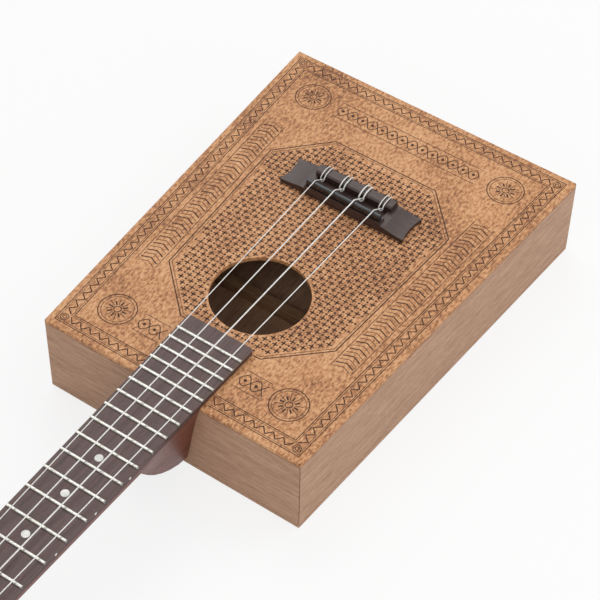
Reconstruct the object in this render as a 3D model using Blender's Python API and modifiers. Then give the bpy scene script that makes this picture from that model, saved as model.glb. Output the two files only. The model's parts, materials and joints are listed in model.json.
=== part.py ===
"""Cigar box ukulele: a mitred box body, a glued neck, a tie bridge and open worm-gear tuning machines.

Metres, +Z up. The instrument lies on its back. The origin is the middle of the back face, the neck
runs towards -Y and the tail is at +Y.
"""

import math

import bmesh
import bpy
from mathutils import Matrix, Vector

# Box body
BODY_LENGTH = 0.277
BODY_WIDTH_NECK = 0.1805
BODY_WIDTH_TAIL = 0.209
BODY_DEPTH = 0.059
TOP_THICKNESS = 0.0026
BACK_THICKNESS = 0.0030
SIDE_THICKNESS = 0.0050
ARRIS = 0.0006
SEAM = 0.0003

# Sound hole, measured from the neck end of the body
HOLE_FROM_NECK_END = 0.0879
HOLE_RADIUS = 0.0304
HOLE_SIDES = 48

# Framing inside the box
BLOCK_WIDTH = 0.060
BLOCK_LENGTH = 0.026
LINING_WIDTH = 0.0055
LINING_HEIGHT = 0.0080
BRACE_WIDTH = 0.0070
TOP_BRACE_HEIGHT = 0.0100
TOP_BRACE_FROM_NECK_END = 0.1300
BACK_BRACE_HEIGHT = 0.0080
BACK_BRACE_FROM_NECK_END = 0.1235
BRACE_SCOOP = 0.022
BRIDGE_PLATE_LENGTH = 0.112
BRIDGE_PLATE_WIDTH = 0.030
BRIDGE_PLATE_THICKNESS = 0.0018

# Scale and fingerboard
SCALE_LENGTH = 0.385
SADDLE_FROM_NECK_END = 0.1742
FRET_COUNT = 18
BOARD_THICKNESS = 0.0034
BOARD_WIDTH_NUT = 0.0383
BOARD_WIDTH_END = 0.0460
BOARD_PAST_FRET = 0.0117
BOARD_CORNER = 0.0020
FRET_WIDTH = 0.0020
FRET_HEIGHT = 0.00065
FRET_TANG_WIDTH = 0.0005
FRET_TANG_DEPTH = 0.0013
FRET_ARC_STEPS = 6

# Nut
NUT_THICKNESS = 0.0040
NUT_ACTION = 0.0005

# Neck and heel
NECK_DEPTH_NUT = 0.0132
NECK_DEPTH_HEEL = 0.0150
NECK_ROUNDNESS = 2.3
HEEL_LENGTH = 0.0455
HEEL_DEPTH = 0.0560
HEEL_CAP_WIDTH = 0.0240
HEEL_SWEEP = 1.6
HEEL_FULLNESS = 0.714
NECK_SIDE_POINTS = 8

# Headstock, in its own frame: x across, y towards the nut, z out of its face
HEAD_ANGLE = math.radians(12.0)
HEAD_LENGTH = 0.128
HEAD_THICKNESS = 0.0115
HEAD_WIDTH_WAIST = 0.0420
HEAD_WIDTH_SHOULDER = 0.0560
HEAD_WIDTH_CROWN = 0.0620
HEAD_SHOULDER_AT = 0.0200
HEAD_CROWN_RISE = 0.0060

# Tuning machines
POST_NEAR_AT = 0.0400
POST_FAR_AT = 0.0860
POST_NEAR_X = 0.0175
POST_FAR_X = 0.0190
POST_RADIUS = 0.0030
POST_WAIST_RADIUS = 0.0027
POST_HEIGHT = 0.0130
POST_BORE_CLEARANCE = 0.0003
POST_STRING_HOLE_RADIUS = 0.0011
POST_STRING_HOLE_HEIGHT = 0.0092
POST_STEPS = 16
GEAR_TEETH = 14
GEAR_MODULE = 0.0008
GEAR_THICKNESS = 0.0030
GEAR_TOOTH_SHARE = 0.30
GEAR_CLEARANCE = 0.0003
WORM_PITCH_RADIUS = 0.0029
WORM_TURNS = 3.0
WORM_ROOT_SHARE = 0.22
WORM_TIP_SHARE = 0.09
WORM_STEPS = 10
SHAFT_RADIUS = 0.0014
SHAFT_CLEARANCE = 0.0003
PLATE_THICKNESS = 0.0010
PLATE_HALF_WIDTH = 0.0068
PLATE_PAST_GEAR = 0.0070
PLATE_PAST_WORM = 0.0085
EAR_THICKNESS = 0.0014
EAR_HALF_LENGTH = 0.0030
WORM_OFF_PLATE = 0.0004
GEAR_COLLAR_RADIUS = 0.0040
GEAR_BOSS_HEIGHT = 0.0008
BUTTON_LENGTH = 0.0130
BUTTON_WIDTH = 0.0085
BUTTON_HEIGHT = 0.0130
BUTTON_OFF_HEAD = 0.0040
BUTTON_BORE_DEPTH = 0.0070

# Bridge and saddle
BRIDGE_LENGTH = 0.0898
BRIDGE_FRONT_OF_SADDLE = 0.0030
BRIDGE_WIDTH = 0.0212
BRIDGE_FRONT_HEIGHT = 0.0066
BRIDGE_WING_HEIGHT = 0.0050
BRIDGE_END_HEIGHT = 0.0032
BRIDGE_END_SCOOP = 0.0016
TIE_BLOCK_LENGTH = 0.0550
TIE_BLOCK_WIDTH = 0.0076
TIE_BLOCK_HEIGHT = 0.0088
CHANNEL_FLOOR = 0.0032
TIE_HOLE_HEIGHT = 0.0054
SADDLE_LENGTH = 0.0535
SADDLE_THICKNESS = 0.0030
SADDLE_HEIGHT = 0.0110
SADDLE_SLOT_FLOOR = 0.0022

# Strings, from -X to +X
STRING_NAMES = ("a", "e", "c", "g")
STRING_DIAMETERS = (0.00060, 0.00078, 0.00092, 0.00068)
STRING_SPACING_SADDLE = 0.01425
STRING_SPACING_NUT = 0.0092
STRAND_GAP = 0.0006
WINDING_TURNS = 3
WINDING_POINTS = 14
WINDING_LOWEST = 0.0046
WINDING_TAIL = 0.0030
WINDING_RISE = 0.8

# Places that follow from the sizes above
Y_NECK = -BODY_LENGTH / 2
Y_TAIL = BODY_LENGTH / 2
Z_TOP = BODY_DEPTH
Z_TOP_INSIDE = BODY_DEPTH - TOP_THICKNESS
Z_BACK_INSIDE = BACK_THICKNESS
Y_HOLE = Y_NECK + HOLE_FROM_NECK_END
Y_SADDLE = Y_NECK + SADDLE_FROM_NECK_END
Y_NUT = Y_SADDLE - SCALE_LENGTH
Y_NUT_BACK = Y_NUT - SEAM - NUT_THICKNESS
Z_BOARD = Z_TOP + SEAM + BOARD_THICKNESS
Z_FRET = Z_BOARD + SEAM + FRET_HEIGHT
Z_SADDLE = Z_TOP + SADDLE_HEIGHT
Z_NUT = Z_FRET + NUT_ACTION + min(STRING_DIAMETERS) / 2
Y_BRIDGE_FRONT = Y_SADDLE - BRIDGE_FRONT_OF_SADDLE
Y_BRIDGE_BACK = Y_BRIDGE_FRONT + BRIDGE_WIDTH
Y_TIE_BACK = Y_BRIDGE_BACK
Y_TIE_FRONT = Y_TIE_BACK - TIE_BLOCK_WIDTH
GEAR_PITCH_RADIUS = GEAR_MODULE * GEAR_TEETH / 2
GEAR_OUTER_RADIUS = GEAR_PITCH_RADIUS + GEAR_MODULE - GEAR_CLEARANCE
GEAR_ROOT_RADIUS = GEAR_PITCH_RADIUS - GEAR_MODULE
WORM_TIP_RADIUS = WORM_PITCH_RADIUS + GEAR_MODULE - GEAR_CLEARANCE
WORM_ROOT_RADIUS = WORM_PITCH_RADIUS - GEAR_MODULE
WORM_PITCH = math.pi * GEAR_MODULE
WORM_LEAD_ANGLE = math.atan(WORM_PITCH / (2 * math.pi * WORM_PITCH_RADIUS))
CENTRE_DISTANCE = GEAR_PITCH_RADIUS + WORM_PITCH_RADIUS
Z_PLATE = -HEAD_THICKNESS - SEAM
Z_GEAR = Z_PLATE - PLATE_THICKNESS - WORM_OFF_PLATE - WORM_TIP_RADIUS

PARTS = None
CUTTERS = None


# Scene and materials

def clear_scene():
    for obj in list(bpy.data.objects):
        bpy.data.objects.remove(obj, do_unlink=True)


def make_collections():
    global PARTS, CUTTERS
    PARTS = bpy.data.collections.new("cigar_box_ukulele")
    CUTTERS = bpy.data.collections.new("cutters")
    bpy.context.scene.collection.children.link(PARTS)
    bpy.context.scene.collection.children.link(CUTTERS)


def linear(channel):
    if channel <= 0.04045:
        return channel / 12.92
    return ((channel + 0.055) / 1.055) ** 2.4


def material(name, hex_colour, roughness, metallic=0.0):
    found = bpy.data.materials.get(name)
    if found:
        return found
    made = bpy.data.materials.new(name)
    made.use_nodes = True
    shader = made.node_tree.nodes["Principled BSDF"]
    rgb = [linear(int(hex_colour[i:i + 2], 16) / 255) for i in (0, 2, 4)]
    shader.inputs["Base Color"].default_value = (*rgb, 1.0)
    shader.inputs["Roughness"].default_value = roughness
    shader.inputs["Metallic"].default_value = metallic
    made.diffuse_color = (*rgb, 1.0)
    return made


def veneer():
    return material("engraved_veneer", "C08C62", 0.62)


def mahogany():
    return material("mahogany", "A98468", 0.60)


def neck_wood():
    return material("stained_mahogany", "5A3428", 0.38)


def spruce():
    return material("spruce", "B08A60", 0.70)


def rosewood():
    return material("rosewood", "4A3330", 0.50)


def black_wood():
    return material("black_walnut", "2C2422", 0.42)


def black_plastic():
    return material("black_plastic", "17181B", 0.22)


def nickel():
    return material("nickel_silver", "C9C6BC", 0.28, 1.0)


def chrome():
    return material("chrome", "C8CACD", 0.16, 1.0)


def brass():
    return material("brass", "B9975B", 0.30, 1.0)


def pearl_plastic():
    return material("pearl_plastic", "E6E1D3", 0.28)


def nylon():
    return material("white_nylon", "F1EFEA", 0.30)


# Modelling helpers

def add_object(name, mesh, finish, collection=None):
    obj = bpy.data.objects.new(name, mesh)
    (collection or PARTS).objects.link(obj)
    if finish:
        mesh.materials.append(finish)
    return obj


def from_bmesh(name, bm, finish):
    bmesh.ops.recalc_face_normals(bm, faces=bm.faces)
    mesh = bpy.data.meshes.new(name)
    bm.to_mesh(mesh)
    bm.free()
    return add_object(name, mesh, finish)


def box(name, low, high, finish=None):
    """A cube primitive sized and placed from its two corners."""
    bm = bmesh.new()
    bmesh.ops.create_cube(bm, size=1.0)
    size = [high[i] - low[i] for i in range(3)]
    bmesh.ops.scale(bm, vec=size, verts=bm.verts)
    obj = from_bmesh(name, bm, finish)
    obj.location = [(high[i] + low[i]) / 2 for i in range(3)]
    return obj


def board(name, corners, z_low, z_high, finish=None):
    """A cube primitive whose four upright edges stand at the given corners, in plan order."""
    order = {(-1, -1): 0, (1, -1): 1, (1, 1): 2, (-1, 1): 3}
    centre_x = sum(c[0] for c in corners) / 4
    centre_y = sum(c[1] for c in corners) / 4
    bm = bmesh.new()
    bmesh.ops.create_cube(bm, size=2.0)
    for vert in bm.verts:
        corner = corners[order[(round(vert.co.x), round(vert.co.y))]]
        vert.co.z = z_high - z_low if vert.co.z > 0 else 0.0
        vert.co.x = corner[0] - centre_x
        vert.co.y = corner[1] - centre_y
    obj = from_bmesh(name, bm, finish)
    obj.location = (centre_x, centre_y, z_low)
    return obj


def rod(name, radius, start, end, finish=None, sides=24):
    """A capped cylinder between two points."""
    start = Vector(start)
    along = Vector(end) - start
    bm = bmesh.new()
    bmesh.ops.create_cone(bm, cap_ends=True, segments=sides, radius1=radius, radius2=radius,
                          depth=along.length)
    obj = from_bmesh(name, bm, finish)
    obj.rotation_euler = along.to_track_quat("Z", "Y").to_euler()
    obj.location = start + along / 2
    smooth(obj)
    return obj


def smooth(obj, angle=35.0):
    obj.data.shade_smooth()
    obj.data.set_sharp_from_angle(angle=math.radians(angle))


def soften(obj, width, segments=2, angle=40.0):
    bevel = obj.modifiers.new("arris", "BEVEL")
    bevel.width = width
    bevel.segments = segments
    bevel.limit_method = "ANGLE"
    bevel.angle_limit = math.radians(angle)
    bevel.use_clamp_overlap = True
    return bevel


def as_tool(obj):
    """Moves an object to the cutters, out of the renders."""
    for owner in list(obj.users_collection):
        owner.objects.unlink(obj)
    CUTTERS.objects.link(obj)
    obj.hide_render = True
    obj.display_type = "WIRE"


def boolean(target, tool, operation):
    step = target.modifiers.new(operation.lower(), "BOOLEAN")
    step.operation = operation
    step.object = tool
    as_tool(tool)


def cut(target, tool):
    boolean(target, tool, "DIFFERENCE")


def join(target, tool):
    boolean(target, tool, "UNION")


def keep(target, tool):
    boolean(target, tool, "INTERSECT")


def baked(obj, weld=0.00001):
    """Replaces an object by the mesh that its modifiers or its curve give, with its caps welded."""
    bpy.context.view_layer.update()
    graph = bpy.context.evaluated_depsgraph_get()
    mesh = bpy.data.meshes.new_from_object(obj.evaluated_get(graph))
    bm = bmesh.new()
    bm.from_mesh(mesh)
    bmesh.ops.remove_doubles(bm, verts=bm.verts, dist=weld)
    bmesh.ops.recalc_face_normals(bm, faces=bm.faces)
    bm.to_mesh(mesh)
    bm.free()
    name = obj.name
    matrix = obj.matrix_world.copy()
    bpy.data.objects.remove(obj, do_unlink=True)
    made = add_object(name, mesh, None)
    made.matrix_world = matrix
    return made


def outline_plate(name, points, z_low, z_high, finish=None):
    """A flat outline as a filled 2D curve, extruded between two heights and made a mesh."""
    curve = bpy.data.curves.new(name, "CURVE")
    curve.dimensions = "2D"
    curve.fill_mode = "BOTH"
    curve.extrude = (z_high - z_low) / 2
    spline = curve.splines.new("POLY")
    spline.points.add(len(points) - 1)
    for target, point in zip(spline.points, points):
        target.co = (point[0], point[1], 0.0, 1.0)
    spline.use_cyclic_u = True
    obj = add_object(name, curve, finish)
    obj.location.z = (z_low + z_high) / 2
    return baked(obj)


def turned(name, profile, steps, finish=None):
    """A turned shape about its own Z axis. The profile runs down the outer side, top to bottom."""
    bm = bmesh.new()
    verts = [bm.verts.new((radius, 0.0, height)) for radius, height in profile]
    for a, b in zip(verts, verts[1:]):
        bm.edges.new((a, b))
    mesh = bpy.data.meshes.new(name)
    bm.to_mesh(mesh)
    bm.free()
    obj = add_object(name, mesh, finish)
    screw = obj.modifiers.new("turn", "SCREW")
    screw.axis = "Z"
    screw.steps = steps
    screw.render_steps = steps
    screw.use_merge_vertices = True
    screw.merge_threshold = 0.00001
    screw.use_smooth_shade = True
    return obj


def tube(name, points, radius, finish, resolution=1):
    """A string along its points, a POLY curve with a bevel and filled caps."""
    curve = bpy.data.curves.new(name, "CURVE")
    curve.dimensions = "3D"
    curve.bevel_depth = radius
    curve.bevel_resolution = resolution
    curve.use_fill_caps = True
    spline = curve.splines.new("POLY")
    spline.points.add(len(points) - 1)
    for target, point in zip(spline.points, points):
        target.co = (point[0], point[1], point[2], 1.0)
    obj = add_object(name, curve, finish)
    return baked(obj)


def smooth_route(points, steps, long_span=0.015):
    """Points on a centripetal Catmull-Rom curve through the route; long spans stay straight."""
    points = [Vector(p) for p in points]
    first = points[0] * 2 - points[1]
    last = points[-1] * 2 - points[-2]
    padded = [first, *points, last]
    route = []
    for i in range(1, len(padded) - 2):
        p0, p1, p2, p3 = padded[i - 1:i + 3]
        count = 1 if (p2 - p1).length > long_span else steps
        t1 = max((p1 - p0).length, 1e-6) ** 0.5
        t2 = t1 + max((p2 - p1).length, 1e-6) ** 0.5
        t3 = t2 + max((p3 - p2).length, 1e-6) ** 0.5
        for step in range(count):
            t = t1 + (t2 - t1) * step / count
            a1 = p0 * ((t1 - t) / t1) + p1 * (t / t1)
            a2 = p1 * ((t2 - t) / (t2 - t1)) + p2 * ((t - t1) / (t2 - t1))
            a3 = p2 * ((t3 - t) / (t3 - t2)) + p3 * ((t - t2) / (t3 - t2))
            b1 = a1 * ((t2 - t) / t2) + a2 * (t / t2)
            b2 = a2 * ((t3 - t) / (t3 - t1)) + a3 * ((t - t1) / (t3 - t1))
            route.append(b1 * ((t2 - t) / (t2 - t1)) + b2 * ((t - t1) / (t2 - t1)))
    route.append(points[-1])
    return route


def least_gap(points, diameter):
    """Least clear gap between parts of one route that lie more than three diameters apart along it."""
    fine = []
    for a, b in zip(points, points[1:]):
        count = max(1, int((b - a).length / (diameter / 2)))
        if (b - a).length > 0.02:
            count = 1
        fine.extend(a + (b - a) * (k / count) for k in range(count))
    fine.append(points[-1])
    along = [0.0]
    for a, b in zip(fine, fine[1:]):
        along.append(along[-1] + (b - a).length)
    least = 1.0
    for i, a in enumerate(fine):
        for j in range(i + 1, len(fine)):
            if along[j] - along[i] > 3.2 * diameter:
                least = min(least, (fine[j] - a).length - diameter)
    return least


# Box body

def half_width(y, inset=0.0):
    """Half the body's width at y, its side drawn in by inset square to the side."""
    flare = (BODY_WIDTH_TAIL - BODY_WIDTH_NECK) / 2 / BODY_LENGTH
    outer = BODY_WIDTH_NECK / 2 + flare * (y - Y_NECK)
    return outer - inset * math.sqrt(1 + flare * flare)


def body_corners(inset):
    low = Y_NECK + inset
    high = Y_TAIL - inset
    return [(-half_width(low, inset), low), (half_width(low, inset), low),
            (half_width(high, inset), high), (-half_width(high, inset), high)]


def build_plates():
    top = board("top_plate", body_corners(0.0), Z_TOP_INSIDE, Z_TOP, veneer())
    soften(top, ARRIS)
    hole = rod("sound_hole_cutter", HOLE_RADIUS, (0, Y_HOLE, Z_TOP_INSIDE - TOP_THICKNESS),
               (0, Y_HOLE, Z_TOP + TOP_THICKNESS), sides=HOLE_SIDES)
    cut(top, hole)
    back = board("back_plate", body_corners(0.0), 0.0, BACK_THICKNESS, mahogany())
    soften(back, ARRIS)


def build_sides():
    """Four boards, mitred at the corners."""
    outer = body_corners(0.0)
    inner = body_corners(SIDE_THICKNESS)
    shift = SEAM / math.sqrt(2)
    names = ("neck_end_board", "bass_side_board", "tail_board", "treble_side_board")
    for index, name in enumerate(names):
        following = (index + 1) % 4
        start = Vector(outer[index])
        end = Vector(outer[following])
        along = (end - start).normalized() * shift
        plan = [start + along, end - along, Vector(inner[following]) - along,
                Vector(inner[index]) + along]
        turned_plan = plan[4 - index:] + plan[:4 - index]
        side = board(name, turned_plan, BACK_THICKNESS + SEAM, Z_TOP_INSIDE - SEAM, mahogany())
        soften(side, ARRIS / 3, segments=1)


def build_linings():
    """Strips along the top and back seams, open where the neck block stands."""
    outer_inset = SIDE_THICKNESS + SEAM
    inner_inset = outer_inset + LINING_WIDTH
    heights = {"top_lining": (Z_TOP_INSIDE - SEAM - LINING_HEIGHT, Z_TOP_INSIDE - SEAM),
               "back_lining": (Z_BACK_INSIDE + SEAM, Z_BACK_INSIDE + SEAM + LINING_HEIGHT)}
    for name, (low, high) in heights.items():
        ring = board(name, body_corners(outer_inset), low, high, spruce())
        cut(ring, board(name + "_inside", body_corners(inner_inset), low - SEAM, high + SEAM))
        half = BLOCK_WIDTH / 2 + SEAM
        cut(ring, box(name + "_block_gap", (-half, Y_NECK, low - SEAM),
                      (half, Y_NECK + BLOCK_LENGTH, high + SEAM)))


def build_neck_block():
    low = Y_NECK + SIDE_THICKNESS + SEAM
    block = box("neck_block", (-BLOCK_WIDTH / 2, low, Z_BACK_INSIDE + SEAM),
                (BLOCK_WIDTH / 2, low + BLOCK_LENGTH, Z_TOP_INSIDE - SEAM), mahogany())
    soften(block, ARRIS)


def build_brace(name, from_neck_end, height, seat, upward):
    """A bar across the box whose ends are scooped down to the lining."""
    y = Y_NECK + from_neck_end
    reach = half_width(y - BRACE_WIDTH / 2, SIDE_THICKNESS + LINING_WIDTH + 2 * SEAM)
    low = seat if upward else seat - height
    brace = box(name, (-reach, y - BRACE_WIDTH / 2, low), (reach, y + BRACE_WIDTH / 2, low + height),
                spruce())
    soften(brace, ARRIS)
    free_edge = low + height if upward else low
    for side in (-1, 1):
        scoop = rod(name + "_scoop", BRACE_SCOOP, (side * reach, y - BRACE_WIDTH, 0),
                    (side * reach, y + BRACE_WIDTH, 0), sides=32)
        rise = BRACE_SCOOP - height / 2
        scoop.location.z = free_edge + (rise if upward else -rise)
        cut(brace, scoop)


def build_framing():
    build_linings()
    build_neck_block()
    build_brace("top_brace", TOP_BRACE_FROM_NECK_END, TOP_BRACE_HEIGHT, Z_TOP_INSIDE - SEAM, False)
    build_brace("back_brace", BACK_BRACE_FROM_NECK_END, BACK_BRACE_HEIGHT, Z_BACK_INSIDE + SEAM, True)
    middle = (Y_BRIDGE_FRONT + Y_BRIDGE_BACK) / 2
    plate = box("bridge_plate",
                (-BRIDGE_PLATE_LENGTH / 2, middle - BRIDGE_PLATE_WIDTH / 2,
                 Z_TOP_INSIDE - SEAM - BRIDGE_PLATE_THICKNESS),
                (BRIDGE_PLATE_LENGTH / 2, middle + BRIDGE_PLATE_WIDTH / 2, Z_TOP_INSIDE - SEAM),
                mahogany())
    soften(plate, ARRIS)


# Neck, fingerboard and frets

def fret_y(number):
    return Y_SADDLE - SCALE_LENGTH * 2 ** (-number / 12)


def board_end():
    return fret_y(FRET_COUNT) + BOARD_PAST_FRET


def board_half_width(y):
    share = (y - Y_NUT) / (board_end() - Y_NUT)
    return (BOARD_WIDTH_NUT + (BOARD_WIDTH_END - BOARD_WIDTH_NUT) * share) / 2


def neck_section(y, top, depth, heel_share):
    """Half of a neck section from the top edge to the middle of the underside, then mirrored.

    A plain neck is a superellipse. The heel's flanks lean in to a narrow rounded cap.
    """
    half = board_half_width(y)
    cap = HEEL_CAP_WIDTH / 2
    right = []
    for k in range(NECK_SIDE_POINTS):
        share = k / (NECK_SIDE_POINTS - 1)
        turn = share * math.pi / 2
        neck_x = half * math.cos(turn) ** (2 / NECK_ROUNDNESS)
        neck_z = math.sin(turn) ** (2 / NECK_ROUNDNESS)
        flank = min(share / 0.7, 1.0)
        under = max((share - 0.7) / 0.3, 0.0)
        heel_x = (half + (cap - half) * flank ** 0.8) * (1 - under)
        heel_z = flank * 0.94 + 0.06 * math.sin(under * math.pi / 2)
        x = neck_x + (heel_x - neck_x) * heel_share
        z = neck_z + (heel_z - neck_z) * heel_share
        right.append((max(x, 0.0), y, top - depth * z))
    left = [(-x, py, pz) for x, py, pz in reversed(right[:-1])]
    return right + left


def loft(name, rings, finish):
    """A closed skin through rings of the same number of points."""
    bm = bmesh.new()
    made = [[bm.verts.new(point) for point in ring] for ring in rings]
    count = len(rings[0])
    for near, far in zip(made, made[1:]):
        for k in range(count):
            following = (k + 1) % count
            bm.faces.new((near[k], near[following], far[following], far[k]))
    bm.faces.new(made[0])
    bm.faces.new(list(reversed(made[-1])))
    return from_bmesh(name, bm, finish)


def neck_stations():
    """Distances from the body and the share of the heel in each section."""
    stations = []
    heel_steps = 9
    for k in range(heel_steps + 1):
        turn = (k / heel_steps) * math.pi / 2
        away = HEEL_LENGTH * math.sin(turn)
        fullness = (1 - (away / HEEL_LENGTH) ** HEEL_SWEEP) ** HEEL_FULLNESS
        stations.append((away, fullness))
    length = Y_NECK - SEAM - Y_NUT_BACK
    for k in (1, 2, 4, 6, 8):
        stations.append((HEEL_LENGTH + (length - HEEL_LENGTH) * k / 8, 0.0))
    return stations


def build_neck():
    rings = []
    face = Y_NECK - SEAM
    length = face - Y_NUT_BACK
    for away, fullness in neck_stations():
        plain = NECK_DEPTH_HEEL + (NECK_DEPTH_NUT - NECK_DEPTH_HEEL) * away / length
        depth = plain + (HEEL_DEPTH - plain) * fullness
        rings.append(neck_section(face - away, Z_TOP, depth, min(1.0, fullness * 1.6)))
    volute = ((0.006, 0.96), (0.013, 0.84), (0.022, 0.60))
    for past, share in volute:
        y = Y_NUT_BACK - past
        drop = past * math.tan(HEAD_ANGLE)
        lowest = NECK_DEPTH_NUT + drop * 0.92
        top = Z_TOP - drop - HEAD_THICKNESS * (1 - share) * 0.5
        ring = neck_section(Y_NUT_BACK, top, (Z_TOP - lowest - top) * -1, 0.0)
        rings.append([(px * (0.98 - 0.9 * (1 - share) ** 1.5), y, pz) for px, _, pz in ring])
    neck = loft("neck", rings, neck_wood())
    head = build_head()
    join(neck, head)
    smooth(neck)


def head_matrix():
    turn = Matrix.Rotation(HEAD_ANGLE, 4, "X")
    return Matrix.Translation((0, Y_NUT_BACK, Z_TOP)) @ turn


def head_outline():
    """Right half by points, then mirrored: waist, flared shoulder, crown with a soft peak."""
    tip = -HEAD_LENGTH
    right = [(HEAD_WIDTH_WAIST / 2 * 0.93, 0.0012), (HEAD_WIDTH_WAIST / 2, -0.004)]
    steps = 8
    for k in range(1, steps + 1):
        share = k / steps
        ease = share * share * (3 - 2 * share)
        x = HEAD_WIDTH_WAIST / 2 + (HEAD_WIDTH_SHOULDER - HEAD_WIDTH_WAIST) / 2 * ease
        right.append((x, -0.004 + (-HEAD_SHOULDER_AT + 0.004) * share))
    right.append((HEAD_WIDTH_CROWN / 2, tip + 0.010))
    for k in range(0, 7):
        share = k / 6
        x = (HEAD_WIDTH_CROWN / 2 - 0.002) * (1 - share)
        wave = HEAD_CROWN_RISE * (0.5 - 0.5 * math.cos(math.pi * share))
        right.append((x, tip + HEAD_CROWN_RISE - wave))
    left = [(-x, y) for x, y in reversed(right[:-1])]
    return right + left


def build_head():
    head = outline_plate("head_blank", head_outline(), -HEAD_THICKNESS, 0.0)
    head.matrix_world = head_matrix() @ head.matrix_world
    bevel = soften(head, ARRIS * 1.5)
    bevel.segments = 2
    for side, x, y in post_places():
        bore = rod("post_bore", POST_RADIUS + POST_BORE_CLEARANCE, (x, y, -2 * HEAD_THICKNESS),
                   (x, y, HEAD_THICKNESS), sides=POST_STEPS)
        bore.matrix_world = head_matrix() @ Matrix.Translation((x, y, -HEAD_THICKNESS / 2))
        cut(head, bore)
    return head


def rounded_board(y_low, y_high, radius):
    """Plan of the fingerboard: tapered, with its corners at the sound hole rounded."""
    low = board_half_width(y_low)
    high = board_half_width(y_high)
    right = [(low, y_low), (high, y_high - radius)]
    for k in range(1, 5):
        turn = k / 4 * math.pi / 2
        right.append((high - radius + radius * math.cos(turn), y_high - radius + radius * math.sin(turn)))
    return right + [(-x, y) for x, y in reversed(right)]


def build_fingerboard():
    plan = rounded_board(Y_NUT, board_end(), BOARD_CORNER)
    fingerboard = outline_plate("fingerboard", plan, Z_TOP + SEAM, Z_BOARD, rosewood())
    half_slot = FRET_TANG_WIDTH / 2 + SEAM
    for number in range(1, FRET_COUNT + 1):
        y = fret_y(number)
        reach = board_half_width(y) * 1.2
        cut(fingerboard, box("fret_slot", (-reach, y - half_slot, Z_BOARD - FRET_TANG_DEPTH - SEAM),
                             (reach, y + half_slot, Z_BOARD + SEAM)))


def fret_profile():
    """Section of a fret wire in y and z: a low arch on a tang."""
    half = FRET_WIDTH / 2
    tang = FRET_TANG_WIDTH / 2
    seat = Z_BOARD + SEAM
    points = [(tang, seat), (tang, Z_BOARD - FRET_TANG_DEPTH), (-tang, Z_BOARD - FRET_TANG_DEPTH),
              (-tang, seat)]
    for k in range(FRET_ARC_STEPS + 1):
        turn = math.pi - k / FRET_ARC_STEPS * math.pi
        points.append((half * math.cos(turn), seat + FRET_HEIGHT * (0.25 + 0.75 * math.sin(turn))))
    points.insert(4, (-half, seat))
    points.append((half, seat))
    return points


def build_fret(number):
    """The fret's section extruded across the board, its crown ends leaning in a little."""
    y = fret_y(number)
    half = board_half_width(y)
    lean = FRET_HEIGHT * 0.8
    rings = []
    for side in (-1, 1):
        ring = []
        for py, pz in fret_profile():
            inward = lean * max(0.0, (pz - Z_BOARD - SEAM) / FRET_HEIGHT)
            ring.append((side * (half - inward), y + py, pz))
        rings.append(ring)
    fret = loft("fret_%02d" % number, rings, nickel())
    smooth(fret)


def string_x(index, y):
    """Where a string crosses y, between its places at the nut and the saddle."""
    place = index - (len(STRING_NAMES) - 1) / 2
    share = (y - Y_NUT) / SCALE_LENGTH
    return place * (STRING_SPACING_NUT + (STRING_SPACING_SADDLE - STRING_SPACING_NUT) * share)


def string_z_at_nut(index):
    return Z_FRET + NUT_ACTION + STRING_DIAMETERS[index] / 2


def build_nut():
    half = board_half_width(Y_NUT)
    nut = box("nut", (-half, Y_NUT_BACK, Z_TOP + SEAM), (half, Y_NUT - SEAM, Z_NUT), pearl_plastic())
    soften(nut, ARRIS)
    for index in range(len(STRING_NAMES)):
        x = string_x(index, Y_NUT)
        z = string_z_at_nut(index)
        radius = STRING_DIAMETERS[index] / 2 + SEAM
        cut(nut, rod("nut_groove", radius, (x, Y_NUT_BACK - NUT_THICKNESS, z),
                     (x, Y_NUT + NUT_THICKNESS, z), sides=12))


# Bridge and saddle

def bridge_side_profile():
    """Section in y and z: front ramp, saddle shoulder, channel and tie block."""
    shoulder = Y_SADDLE + SADDLE_THICKNESS / 2 + SEAM + 0.0012
    step = 0.0010
    return [(Y_BRIDGE_FRONT, Z_TOP + SEAM), (Y_BRIDGE_FRONT, Z_TOP + BRIDGE_END_HEIGHT),
            (Y_BRIDGE_FRONT + 0.0008, Z_TOP + BRIDGE_FRONT_HEIGHT),
            (shoulder, Z_TOP + BRIDGE_FRONT_HEIGHT), (shoulder + step, Z_TOP + CHANNEL_FLOOR),
            (Y_TIE_FRONT, Z_TOP + CHANNEL_FLOOR), (Y_TIE_FRONT, Z_TOP + TIE_BLOCK_HEIGHT - step),
            (Y_TIE_FRONT + step, Z_TOP + TIE_BLOCK_HEIGHT),
            (Y_TIE_BACK - step, Z_TOP + TIE_BLOCK_HEIGHT),
            (Y_TIE_BACK, Z_TOP + TIE_BLOCK_HEIGHT - step), (Y_TIE_BACK, Z_TOP + SEAM)]


def wing_profile(side):
    """Section in x and z of one wing, its top sweeping down to the end in a hollow curve."""
    inner = TIE_BLOCK_LENGTH / 2 - 0.002
    start = TIE_BLOCK_LENGTH / 2 + 0.003
    end = BRIDGE_LENGTH / 2
    points = [(inner, Z_TOP + SEAM), (end, Z_TOP + SEAM)]
    steps = 7
    for k in range(steps + 1):
        share = 1 - k / steps
        fall = 1 - (1 - share) ** 2
        z = BRIDGE_WING_HEIGHT + (BRIDGE_END_HEIGHT - BRIDGE_WING_HEIGHT) * fall
        points.append((start + (end - start) * share, Z_TOP + z))
    points.append((inner, Z_TOP + BRIDGE_WING_HEIGHT))
    return [(side * x, z) for x, z in points]


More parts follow.
